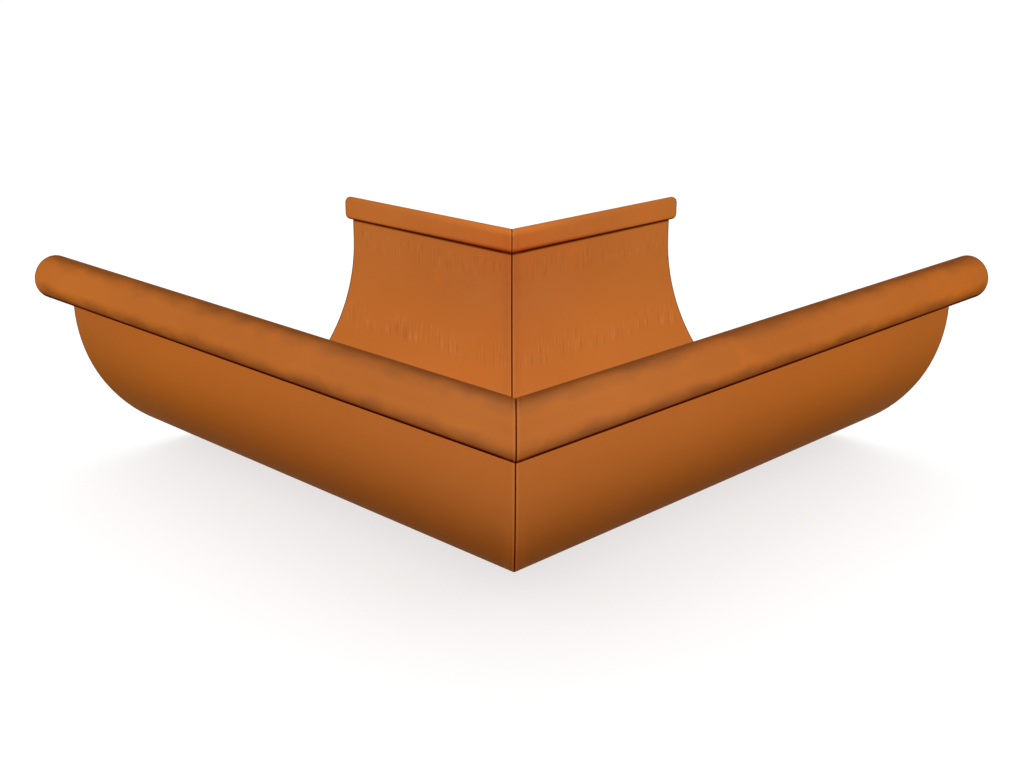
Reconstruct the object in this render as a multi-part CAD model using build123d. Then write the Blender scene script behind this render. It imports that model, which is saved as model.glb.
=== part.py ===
from build123d import *
import math
import os

# Outside mitre of a half-round copper gutter: two mitre-cut sections of one folded profile, brazed
# together where they meet. Millimetres. The origin is the house corner, at the height of the trough's
# axis. The right section runs along +X with its flat back at y = 0, the left one along +Y with its
# back at x = 0, and +Z is up. The profile is drawn as (out, up): out is measured from the flat back
# towards the street, up from the trough's axis.

sheet = 0.7  # thickness of the copper sheet
trough_bore = 153.0  # inside diameter of the half-round
leg_length = 109.0  # from the house corner to the square-cut end, along the back

back_rise = 20.5  # top of the back above the trough's axis
hem_height = 11.0  # water fold along the top of the back
hem_depth = 5.2
hem_back_radius = 1.8  # outer radius of the bend at the top of the back
hem_flat = 0.9  # straight between the fold's two top bends
hem_edge = 0.6  # straight along the fold's free edge
hem_gap = 0.5  # slit between that edge and the back

bead_diameter = 18.0  # rolled tube along the front lip
bead_up = 7.25  # its centre above the trough's axis
bead_slit = 0.6  # gap between the rolled edge and the outside of the trough
lip_lean = 3.1  # how far the bead stands inside the line of the trough's wall
lip_start = 35.0  # degrees below the axis where the front wall starts to lean in

seam_width = 0.4  # brazing metal between the two cut edges
seam_recess = 0.1  # how far it lies below each face of the sheet

trough_radius = trough_bore / 2 + sheet
trough_path = trough_radius - sheet / 2
trough_axis = Vector(trough_radius, 0)
bead_path = bead_diameter / 2 - sheet / 2
bead_axis = trough_axis + Vector(trough_bore / 2 - lip_lean + bead_diameter / 2, bead_up)
mitre_plane = Plane(origin=(0, 0, 0), x_dir=(1, 1, 0), z_dir=(1, -1, 0))


def front_wall():
    """Centre and radius of the front wall's bend, and its angle where it meets the bead.

    The bend leaves the trough's circle tangent at lip_start and runs tangent into the bead.
    """
    start = Vector(1, 0).rotate(Axis.Z, -lip_start)
    to_bead = bead_axis - trough_axis
    reach = trough_path + bead_path
    tighter = (reach**2 - to_bead.dot(to_bead)) / (2 * (reach - to_bead.dot(start)))
    centre = trough_axis + start * tighter
    rise = bead_axis - centre
    return centre, trough_path - tighter, math.degrees(math.atan2(rise.Y, rise.X))


def bead_roll(wall_radius):
    """Degrees that the sheet rolls round the bead, up to a slit away from the wall."""
    apart = wall_radius + bead_path
    stand_off = wall_radius + sheet + bead_slit
    cosine = (apart**2 + bead_path**2 - stand_off**2) / (2 * apart * bead_path)
    return 360 - math.degrees(math.acos(cosine))


def water_fold():
    """Middle line of the hem and of the straight back below it."""
    half = sheet / 2
    edge_end = sheet + hem_gap
    bottom = back_rise - hem_height + half
    front_radius = hem_depth - hem_back_radius - hem_flat
    bottom_radius = hem_depth - edge_end - hem_edge
    return FilletPolyline(
        (edge_end, bottom),
        (hem_depth - half, bottom),
        (hem_depth - half, back_rise - half),
        (half, back_rise - half),
        (half, 0),
        radius=[bottom_radius - half, front_radius - half, hem_back_radius - half],
    )


def sheet_path():
    """Middle line of the folded sheet, from the hem's free edge round to the rolled edge."""
    trough = CenterArc(trough_axis, trough_path, 180, 180 - lip_start)
    wall_centre, wall_radius, wall_top = front_wall()
    wall = CenterArc(wall_centre, wall_radius, -lip_start, lip_start + wall_top)
    bead = CenterArc(bead_axis, bead_path, wall_top + 180, -bead_roll(wall_radius))
    return water_fold() + trough + wall + bead


def leg(thickness, mitre_gap):
    """The profile at this thickness along +X, cut square at its end and mitred at the corner."""
    end_plane = Plane(origin=(leg_length, 0, 0), x_dir=(0, -1, 0), z_dir=(-1, 0, 0))
    profile_depth = bead_axis.X + bead_diameter / 2
    past_corner = profile_depth + bead_diameter
    blank = extrude(end_plane * trace(sheet_path(), thickness), leg_length + past_corner)
    return split(blank, mitre_plane.offset(mitre_gap / 2), Keep.TOP)


def mitre_seam():
    """Brazing metal that fills the gap between the cut edges, the same on both sides of the mitre."""
    thickness = sheet - 2 * seam_recess
    half = leg(thickness, 0) - leg(thickness, seam_width)
    return half + mirror(half, mitre_plane)


right_section = leg(sheet, seam_width)

nodes = {
    "right_section": right_section,
    "left_section": mirror(right_section, mitre_plane),
    "mitre_seam": mitre_seam(),
}

os.makedirs("parts", exist_ok=True)
for name, shape in nodes.items():
    export_step(shape, f"parts/{name}.step")
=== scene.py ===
import math
from types import SimpleNamespace

import bpy
from mathutils import Matrix, Vector

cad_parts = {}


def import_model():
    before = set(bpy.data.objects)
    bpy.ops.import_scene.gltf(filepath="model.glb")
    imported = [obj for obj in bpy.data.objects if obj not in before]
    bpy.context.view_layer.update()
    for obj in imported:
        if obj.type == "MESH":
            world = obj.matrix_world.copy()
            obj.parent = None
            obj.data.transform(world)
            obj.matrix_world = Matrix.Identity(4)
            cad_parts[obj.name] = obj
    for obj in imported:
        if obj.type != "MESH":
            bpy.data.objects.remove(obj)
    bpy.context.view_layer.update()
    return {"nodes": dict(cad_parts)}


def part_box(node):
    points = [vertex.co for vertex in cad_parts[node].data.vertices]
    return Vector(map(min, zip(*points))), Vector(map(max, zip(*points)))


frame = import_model()

# Metres, in the frame of the model: the origin is the house corner at the height of the trough's axis,
# the right leg runs along +X, the left leg along +Y, and +Z is up.

MM = 0.001


def mm(*sizes):
    return [size * MM for size in sizes]


# Sizes of the folded profile that the finish follows
section_low, section_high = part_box("right_section")
LEG_END = section_high.x
BACK_RISE = section_high.z
TROUGH_RADIUS = -section_low.z
PROFILE_DEPTH = -section_low.y
BEAD_RADIUS = 9 * MM
BEAD_OUT = PROFILE_DEPTH - BEAD_RADIUS
BEAD_UP = 7.25 * MM
HEM_HEIGHT = 11 * MM
HEM_BOTTOM = BACK_RISE - HEM_HEIGHT
HEM_REACH = 6 * MM  # all of the hem lies within this distance of the flat back
SKIN = 0.1 * MM  # how far off the bead a point may lie and still count as on it

# Where the finish and its painted light and shade change. Two values give where it starts and is full,
# and four give where it starts, is full, fades and ends. First come heights above the trough's axis
LOW_DOWN = mm(0, -34)
HIGH_UP = mm(-35, -5)
AT_TOP = mm(-15, 5)
BRUSHED_UNDER_HEM = mm(-6, -2, 3, 6)
BRUSHED_HALFWAY = mm(-42, -38, -33, -29)
LOWER_TROUGH = (-0.08 * TROUGH_RADIUS, -0.9 * TROUGH_RADIUS)
HEM_CREASE = mm(-1.6, -0.6, 0, 1)  # heights above the bottom of the hem

# Distances out from the flat back, along the leg, and from the bead's axis
BACK_WALL = (TROUGH_RADIUS, 0.5 * TROUGH_RADIUS)
OUTER_LENGTH = (0.3 * LEG_END, LEG_END)
CUT_EDGE = (LEG_END - 0.7 * MM, LEG_END - 0.3 * MM)
BELOW_BEAD = (BEAD_RADIUS + 1 * MM, BEAD_RADIUS + 0.5 * MM)

# Distances from the mitre
TOWARDS_END = mm(35, 95)
BY_MITRE = mm(45, 0)
HEM_CORNER = mm(25, 0)
MITRE_SCORCHED = mm(0.42, 0.3)
MITRE_HIGHLIGHT = mm(0.35, 0.55, 0.65, 1.0)
MITRE_TINT = mm(1.0, 2.0, 2.2, 5.0)

# Degrees round the bead, up from its outermost line, where painted shade lies in its crease and in two
# ragged bands, and by how many those bands wander to each side
BEAD_CREASE = (-90, -70, -45, -35)
BEAD_SHADE_ABOVE = (36, 100, 112, 150)
BEAD_SHADE_BENEATH = (-125, -85, -42, 8)
RAGGED = 22

# How much of a face's normal points out where it faces out, and up where it faces down
FACING_OUT = (0.2, 0.7)
FACING_DOWN = (-0.5, -0.8)

# Each pattern goes from 0 to 1. These are its levels where what it draws starts and is full
BROAD_LEVELS = (0.35, 0.65)
MEDIUM_LEVELS = (0.5, 0.75)
PATCH_LEVELS = (0.36, 0.5)
LIGHT_STROKE_LEVELS = (0.54, 0.66)
DARK_STROKE_LEVELS = (0.44, 0.33)
LUMP_LEVELS = (0.4, 0.7)

# How many features of each pattern a metre holds
BROAD_TONES = 9
MEDIUM_TONES = 38
STROKES_ACROSS = 1300
STROKES_UP = 90
STROKE_PATCHES = 80
MOTTLE_ALONG = 75
MOTTLE_AROUND = 150
GRAIN_ALONG = 160
GRAIN_ACROSS = 2600
UNEVEN_PLACES = 26
BRAZING_LUMPS = 700
LEG_SHIFT = 40  # added to a pattern, it keeps the two legs from being each other's mirror image

# How deep the relief of the sheet and of the brazing metal is
GRAIN_DEPTH = 0.006 * MM
UNEVEN_DEPTH = 0.18 * MM
LUMP_DEPTH = 0.05 * MM

# How strong the light brush strokes are, in the upper row and in the lower
LIGHT_STROKES = 0.15
LIGHT_STROKES_BELOW = 0.28

# How much painted light makes the face of the hem paler, along its length and at the corner
HEM_PAINTED_LIGHT = 0.05
HEM_PAINTED_LIGHT_AT_CORNER = 0.65

# How strongly the mitre is scorched, on the outside and on the inside
SCORCHED_OUTSIDE = 0.1
SCORCHED_INSIDE = 0.8

# How rough the copper is where the medium pattern is at 0, how much rougher where it is at 1, and how
# rough the brazing metal is
ROUGHNESS = 0.42
ROUGHER = 0.14
ROUGHNESS_OF_BRAZING = 0.6

# The pale and the polished colours also serve as painted light, and the deep, toned and crease colours as
# painted shade
COPPER = (0.55, 0.177, 0.039)
COPPER_PALE_AND_LIT = (0.65, 0.188, 0.033)
COPPER_DEEP_AND_SHADED = (0.46, 0.140, 0.029)
SHADE_AND_TONE = (0.167, 0.077, 0.049)
SHADE_AND_OXIDE = (0.045, 0.004, 0.001)
POLISHED_AND_LIT = (0.72, 0.28, 0.09)
BRAZING = (0.19, 0.012, 0.001)

# Tints of the reflection at a shallow angle. The second and the third dim it where shade is painted, and
# the third is also the brazing metal's tint
GRAZING = (0.80, 0.52, 0.36)
GRAZING_IN_SHADE = (0.45, 0.30, 0.13)
GRAZING_SHADE_AND_BRAZING = (0.30, 0.10, 0.04)

# The floor and the room: how pale the floor is, how much it glows where it is seen, and how strong the
# room is as light on the object and where it is seen
FLOOR_SIZE = 14.0
FLOOR_GREY = 0.42
FLOOR_GLOW = 0.7
ROOM_LIGHT = 0.8
ROOM_SEEN = 1.0

# Soft lamps: name, place, width, height and power in watts. Both shine on the middle of the object
LAMPS = (
    ("key", (-0.75, -0.75, 1.1), 1.4, 0.9, 3),
    ("top", (0.05, 0.05, 1.5), 1.6, 1.6, 3),
)
LAMP_AIM = Vector((-0.06, -0.06, 0))

# Camera, found from the straight edges and the cut ends of the object in the picture
CAMERA_PLACE = Vector((-433.6, -428.9, 145.0)) * MM
CAMERA_HEADING = 44.674  # degrees from +X, seen from above
CAMERA_DOWN = 17.834
CAMERA_ROLL = 0.087
CAMERA_LENS = 49.74
SENSOR_WIDTH = 36


class Look:
    """A material's node tree, with short calls for the nodes that the finish uses."""

    def __init__(self, name):
        self.material = bpy.data.materials.new(name)
        self.material.use_nodes = True
        self.tree = self.material.node_tree
        self.surface = self.tree.nodes["Principled BSDF"]

    def link(self, value, socket):
        if isinstance(value, bpy.types.NodeSocket):
            self.tree.links.new(value, socket)
        elif isinstance(value, tuple) and len(value) == 3 and len(socket.default_value) == 4:
            socket.default_value = (*value, 1)
        else:
            socket.default_value = value

    def set(self, name, value):
        self.link(value, self.surface.inputs[name])

    def math(self, operation, *values):
        node = self.tree.nodes.new("ShaderNodeMath")
        node.operation = operation
        for value, socket in zip(values, node.inputs):
            self.link(value, socket)
        return node.outputs[0]

    def chain(self, operation, values):
        result = values[0]
        for value in values[1:]:
            result = self.math(operation, result, value)
        return result

    def add(self, *values):
        return self.chain("ADD", values)

    def times(self, *values):
        return self.chain("MULTIPLY", values)

    def smooth(self, value, start, end, low=0.0, high=1.0):
        """Goes smoothly from low to high while the value goes from start to end."""
        node = self.tree.nodes.new("ShaderNodeMapRange")
        node.interpolation_type = "SMOOTHSTEP"
        for item, socket in zip((value, start, end, low, high), node.inputs):
            self.link(item, socket)
        return node.outputs[0]

    def band(self, value, start, full, fade, end):
        """1 between full and fade, and smoothly down to 0 at start and at end."""
        return self.math("SUBTRACT", self.smooth(value, start, full), self.smooth(value, fade, end))

    def vector(self, x, y, z):
        node = self.tree.nodes.new("ShaderNodeCombineXYZ")
        for value, socket in zip((x, y, z), node.inputs):
            self.link(value, socket)
        return node.outputs[0]

    def split(self, vector):
        node = self.tree.nodes.new("ShaderNodeSeparateXYZ")
        self.link(vector, node.inputs[0])
        return node.outputs

    def noise(self, place, scale, detail=3.0, roughness=0.5):
        node = self.tree.nodes.new("ShaderNodeTexNoise")
        self.link(place, node.inputs["Vector"])
        self.link(scale, node.inputs["Scale"])
        self.link(detail, node.inputs["Detail"])
        self.link(roughness, node.inputs["Roughness"])
        return node.outputs[0]

    def mix(self, amount, first, second):
        node = self.tree.nodes.new("ShaderNodeMix")
        node.data_type = "RGBA"
        for value, name in ((amount, "Factor_Float"), (first, "A_Color"), (second, "B_Color")):
            self.link(value, next(i for i in node.inputs if i.identifier == name))
        return next(o for o in node.outputs if o.identifier == "Result_Color")

    def tone(self, colour, towards, strength, *masks):
        """Mixes that share of another colour into a colour, where all the masks are 1."""
        return self.mix(self.times(*masks, strength), colour, towards)

    def bump(self, height):
        """Relief whose height is in metres."""
        node = self.tree.nodes.new("ShaderNodeBump")
        node.inputs["Distance"].default_value = 1.0
        node.inputs["Strength"].default_value = 1.0
        self.link(height, node.inputs["Height"])
        self.set("Normal", node.outputs[0])

    def place(self):
        """Where a point lies: along its own leg, out from the flat back, and up, and how it faces."""
        coords = self.tree.nodes.new("ShaderNodeTexCoord")
        x, y, up = self.split(coords.outputs["Object"])
        normal_x, normal_y, normal_up = self.split(coords.outputs["Normal"])
        along = self.math("MAXIMUM", x, y)
        across = self.math("MINIMUM", x, y)
        on_right = self.math("GREATER_THAN", x, y)
        on_left = self.math("SUBTRACT", 1.0, on_right)
        normal_across = self.add(self.times(on_right, normal_y), self.times(on_left, normal_x))
        return SimpleNamespace(
            place=coords.outputs["Object"],
            along=along,
            out=self.times(across, -1.0),
            up=up,
            from_mitre=self.times(self.math("SUBTRACT", along, across), math.sqrt(0.5)),
            normal_out=self.times(normal_across, -1.0),
            normal_up=normal_up,
            leg_shift=self.times(on_right, LEG_SHIFT),
        )


def find_faces(look, at):
    """Adds which face of the sheet a place is on, as masks, and where it is round the rolled bead."""
    bead_out = look.math("SUBTRACT", at.out, BEAD_OUT)
    bead_up = look.math("SUBTRACT", at.up, BEAD_UP)
    squares = look.add(look.times(bead_out, bead_out), look.times(bead_up, bead_up))
    at.from_bead = look.math("SQRT", squares)
    at.round_bead = look.times(look.math("ARCTAN2", bead_up, bead_out), math.degrees(1))
    at.on_bead = look.math("LESS_THAN", at.from_bead, BEAD_RADIUS + SKIN)
    off_bead = look.math("SUBTRACT", 1.0, at.on_bead)

    from_axis = look.math("SUBTRACT", at.out, TROUGH_RADIUS)
    below_axis = look.math("MINIMUM", at.up, 0.0)
    faces_away = look.add(look.times(at.normal_out, from_axis), look.times(at.normal_up, below_axis))
    outer_face = look.math("GREATER_THAN", faces_away, 0.0)
    at.outside = look.times(outer_face, off_bead)
    at.inside = look.times(look.math("SUBTRACT", 1.0, outer_face), off_bead)
    at.on_back = look.times(look.smooth(at.out, *BACK_WALL), at.inside)


def brush_strokes(look, at):
    """The light and the dark ones of the short upright strokes, which lie in two rows inside the back."""
    across = look.times(at.from_mitre, STROKES_ACROSS)
    stroke_place = look.vector(across, look.times(at.up, STROKES_UP), at.leg_shift)
    strokes = look.noise(stroke_place, scale=1.0, detail=1.0)
    patches = look.smooth(look.noise(at.place, scale=STROKE_PATCHES, detail=2.0), *PATCH_LEVELS)
    under_hem = look.band(at.up, *BRUSHED_UNDER_HEM)
    halfway = look.band(at.up, *BRUSHED_HALFWAY)
    brushed = look.times(look.math("MAXIMUM", under_hem, halfway), at.on_back, patches)
    strength = look.math("MULTIPLY_ADD", halfway, LIGHT_STROKES_BELOW - LIGHT_STROKES, LIGHT_STROKES)
    light = look.times(look.smooth(strokes, *LIGHT_STROKE_LEVELS), strength, brushed)
    dark = look.times(look.smooth(strokes, *DARK_STROKE_LEVELS), brushed)
    return light, dark


def bead_shade_bands(look, at):
    """Ragged bands of painted shade along the bead: the one on its inner top and the one on its
    underside.
    """
    along = look.math("MULTIPLY_ADD", at.along, MOTTLE_ALONG, at.leg_shift)
    out = look.times(at.out, MOTTLE_AROUND)
    mottle_place = look.vector(along, out, look.times(at.up, MOTTLE_AROUND))
    mottle = look.noise(mottle_place, scale=1.0, detail=3.0)
    turn = look.add(at.round_bead, look.math("MULTIPLY_ADD", mottle, 2.0 * RAGGED, -RAGGED))
    bands = (BEAD_SHADE_ABOVE, BEAD_SHADE_BENEATH)
    return [look.times(look.band(turn, *band), at.on_bead) for band in bands]


def hem_face(look, at):
    """The upright face of the hem that looks into the gutter."""
    near_back = look.math("LESS_THAN", at.out, HEM_REACH)
    above_bottom = look.math("GREATER_THAN", at.up, HEM_BOTTOM)
    return look.times(look.smooth(at.normal_out, *FACING_OUT), near_back, above_bottom)


def shade_in_creases(look, at):
    """Painted shade in the creases under the hem, and under the bead where it meets the trough."""
    near_back = look.math("LESS_THAN", at.out, HEM_REACH)
    above_axis = look.math("GREATER_THAN", at.up, 0.0)
    hem_underside = look.times(look.smooth(at.normal_up, *FACING_DOWN), above_axis, near_back)
    below_hem = look.band(look.math("SUBTRACT", at.up, HEM_BOTTOM), *HEM_CREASE)
    below_hem = look.times(below_hem, at.inside, near_back)
    bead_underside = look.times(look.band(at.round_bead, *BEAD_CREASE), at.on_bead)
    below_bead = look.times(look.smooth(at.from_bead, *BELOW_BEAD), at.outside)
    return look.chain("MAXIMUM", (hem_underside, below_hem, bead_underside, below_bead))


def copper_sheet():
    look = Look("copper_sheet")
    at = look.place()
    find_faces(look, at)

    # Broad, soft differences of tone in the sheet
    broad = look.noise(at.place, scale=BROAD_TONES, detail=2.0)
    medium = look.noise(at.place, scale=MEDIUM_TONES, detail=4.0, roughness=0.55)
    colour = look.mix(look.smooth(broad, *BROAD_LEVELS, low=0.35, high=1.0), COPPER_DEEP_AND_SHADED, COPPER)
    colour = look.mix(look.smooth(medium, *MEDIUM_LEVELS, low=0.0, high=0.4), colour, COPPER_PALE_AND_LIT)

    # Painted light and shade inside the back: paler low down, deeper in tone towards its end, most of all
    # in its upper part, and paler by the mitre in its upper part. Two rows of brush strokes run along it
    low_down = look.smooth(at.up, *LOW_DOWN)
    high_up = look.smooth(at.up, *HIGH_UP)
    at_top = look.smooth(at.up, *AT_TOP)
    towards_end = look.smooth(at.from_mitre, *TOWARDS_END)
    by_mitre = look.smooth(at.from_mitre, *BY_MITRE)
    colour = look.tone(colour, COPPER_PALE_AND_LIT, 0.45, low_down, at.on_back)
    colour = look.tone(colour, COPPER_DEEP_AND_SHADED, 0.32, towards_end, at.on_back)
    colour = look.tone(colour, COPPER_DEEP_AND_SHADED, 0.4, towards_end, high_up, at.on_back)
    colour = look.tone(colour, POLISHED_AND_LIT, 0.25, by_mitre, high_up, at.on_back)
    colour = look.tone(colour, COPPER_PALE_AND_LIT, 0.4, by_mitre, at_top, at.on_back)
    light_strokes, dark_strokes = brush_strokes(look, at)
    colour = look.mix(light_strokes, colour, POLISHED_AND_LIT)
    colour = look.tone(colour, SHADE_AND_TONE, 0.21, dark_strokes)

    # Painted light makes the face of the hem a little paler, most of all at the corner
    hem = hem_face(look, at)
    hem_painted_light = look.smooth(at.from_mitre, *HEM_CORNER, low=HEM_PAINTED_LIGHT, high=HEM_PAINTED_LIGHT_AT_CORNER)
    colour = look.mix(look.times(hem, hem_painted_light), colour, COPPER_PALE_AND_LIT)

    # Painted shade darkens the rolled bead in ragged bands along its inner top and along its underside
    above, beneath = bead_shade_bands(look, at)
    colour = look.tone(colour, SHADE_AND_TONE, 0.72, above)
    colour = look.tone(colour, SHADE_AND_TONE, 0.67, beneath)

    # The outside is deeper in tone, and a little darker at its ends. Painted shade deepens it more and
    # more towards its lowest line
    shade_towards_bottom = look.times(look.smooth(at.up, *LOWER_TROUGH), at.outside)
    outwards = look.times(look.smooth(at.along, *OUTER_LENGTH), at.outside)
    colour = look.tone(colour, COPPER_DEEP_AND_SHADED, 0.75, at.outside)
    colour = look.tone(colour, SHADE_AND_TONE, 0.79, shade_towards_bottom)
    colour = look.tone(colour, SHADE_AND_TONE, 0.18, outwards)

    # Painted shade darkens the creases, and the sheared ends are dark along the cut
    crease_shade = shade_in_creases(look, at)
    colour = look.tone(colour, SHADE_AND_OXIDE, 0.86, crease_shade)
    colour = look.tone(colour, SHADE_AND_OXIDE, 0.8, look.smooth(at.along, *CUT_EDGE))

    # The torch scorched the cut edges of the mitre, most of all inside. Beside them runs a thin painted
    # highlight, and just beyond that the heat left a darker tint
    colour = look.tone(colour, COPPER_DEEP_AND_SHADED, 0.2, look.band(at.from_mitre, *MITRE_TINT))
    colour = look.tone(colour, POLISHED_AND_LIT, 0.25, look.band(at.from_mitre, *MITRE_HIGHLIGHT))
    off_hem = look.math("SUBTRACT", 1.0, hem)
    scorch = look.math("MULTIPLY_ADD", at.inside, SCORCHED_INSIDE - SCORCHED_OUTSIDE, SCORCHED_OUTSIDE)
    scorched = look.times(look.smooth(at.from_mitre, *MITRE_SCORCHED), off_hem, scorch)
    colour = look.mix(scorched, colour, BRAZING)

    # Rolled grain, and the slight unevenness of a hand-finished sheet
    along = look.times(at.along, GRAIN_ALONG)
    out = look.times(at.out, GRAIN_ACROSS)
    grain_place = look.vector(along, out, look.times(at.up, GRAIN_ACROSS))
    grain = look.noise(grain_place, scale=1.0, detail=2.0, roughness=0.7)
    uneven = look.noise(at.place, scale=UNEVEN_PLACES, detail=2.0)
    look.bump(look.add(look.times(grain, GRAIN_DEPTH), look.times(uneven, UNEVEN_DEPTH)))

    shaded_places = look.chain("MAXIMUM", (shade_towards_bottom, above, beneath))
    look.set("Base Color", colour)
    look.set("Metallic", 1.0)
    look.set("Roughness", look.math("MULTIPLY_ADD", medium, ROUGHER, ROUGHNESS))
    # The reflection's tint is dimmed where shade is painted
    look.set("Specular Tint", look.mix(crease_shade, look.mix(shaded_places, GRAZING, GRAZING_IN_SHADE), GRAZING_SHADE_AND_BRAZING))
    return look.material


def brazing_metal():
    look = Look("brazing_metal")
    lumps = look.noise(look.place().place, scale=BRAZING_LUMPS, detail=3.0)
    look.bump(look.times(lumps, LUMP_DEPTH))
    look.set("Base Color", look.mix(look.smooth(lumps, *LUMP_LEVELS), BRAZING, SHADE_AND_OXIDE))
    look.set("Metallic", 1.0)
    look.set("Roughness", ROUGHNESS_OF_BRAZING)
    look.set("Specular Tint", GRAZING_SHADE_AND_BRAZING)
    return look.material


def finish_node(name, material):
    mesh = frame["nodes"][name].data
    mesh.materials.clear()
    mesh.materials.append(material)


def seen(tree):
    """1 for the camera's rays and for those that metal or glass sends on, 0 for light on the object."""
    rays = tree.nodes.new("ShaderNodeLightPath")
    shown = rays.outputs["Is Camera Ray"]
    for name in ("Is Glossy Ray", "Is Transmission Ray"):
        either = tree.nodes.new("ShaderNodeMath")
        either.operation = "MAXIMUM"
        tree.links.new(shown, either.inputs[0])
        tree.links.new(rays.outputs[name], either.inputs[1])
        shown = either.outputs[0]
    return shown


def floor():
    """A pale floor under the trough, shown white, with the object's shadow on it."""
    bpy.ops.mesh.primitive_plane_add(size=FLOOR_SIZE, location=(0, 0, section_low.z))
    plane = bpy.context.object
    plane.name = "floor"
    look = Look("floor")
    look.set("Base Color", (FLOOR_GREY, FLOOR_GREY, FLOOR_GREY))
    look.set("Roughness", 1.0)
    look.set("Specular IOR Level", 0.0)
    glow = look.tree.nodes.new("ShaderNodeEmission")
    look.link(look.math("MULTIPLY", seen(look.tree), FLOOR_GLOW), glow.inputs["Strength"])
    both = look.tree.nodes.new("ShaderNodeAddShader")
    look.link(look.surface.outputs[0], both.inputs[0])
    look.link(glow.outputs[0], both.inputs[1])
    look.link(both.outputs[0], look.tree.nodes["Material Output"].inputs["Surface"])
    plane.data.materials.append(look.material)


def world():
    """An even white room, seen as plain white by the camera and in the metal."""
    room = bpy.data.worlds.new("studio")
    bpy.context.scene.world = room
    room.use_nodes = True
    tree = room.node_tree
    background = tree.nodes["Background"]
    background.inputs["Color"].default_value = (1, 1, 1, 1)
    strength = tree.nodes.new("ShaderNodeMapRange")
    strength.inputs["To Min"].default_value = ROOM_LIGHT
    strength.inputs["To Max"].default_value = ROOM_SEEN
    tree.links.new(seen(tree), strength.inputs["Value"])
    tree.links.new(strength.outputs[0], background.inputs["Strength"])


def softbox(name, place, width, height, power):
    lamp = bpy.data.lights.new(name, "AREA")
    lamp.shape = "RECTANGLE"
    lamp.size = width
    lamp.size_y = height
    lamp.energy = power
    box = bpy.data.objects.new(name, lamp)
    box.location = place
    box.rotation_euler = (LAMP_AIM - Vector(place)).to_track_quat("-Z", "Y").to_euler()
    bpy.context.scene.collection.objects.link(box)


def camera():
    lens = bpy.data.cameras.new("camera")
    lens.lens = CAMERA_LENS
    lens.sensor_width = SENSOR_WIDTH
    body = bpy.data.objects.new("camera", lens)
    turn = Matrix.Rotation(math.radians(CAMERA_HEADING - 90), 4, "Z")
    tilt = Matrix.Rotation(math.radians(90 - CAMERA_DOWN), 4, "X")
    roll = Matrix.Rotation(math.radians(CAMERA_ROLL), 4, "Z")
    body.matrix_world = Matrix.Translation(CAMERA_PLACE) @ turn @ tilt @ roll
    bpy.context.scene.collection.objects.link(body)
    bpy.context.scene.camera = body


copper = copper_sheet()
finish_node("left_section", copper)
finish_node("right_section", copper)
finish_node("mitre_seam", brazing_metal())

floor()
world()
for lamp in LAMPS:
    softbox(*lamp)
camera()
bpy.context.scene.view_settings.view_transform = "Standard"
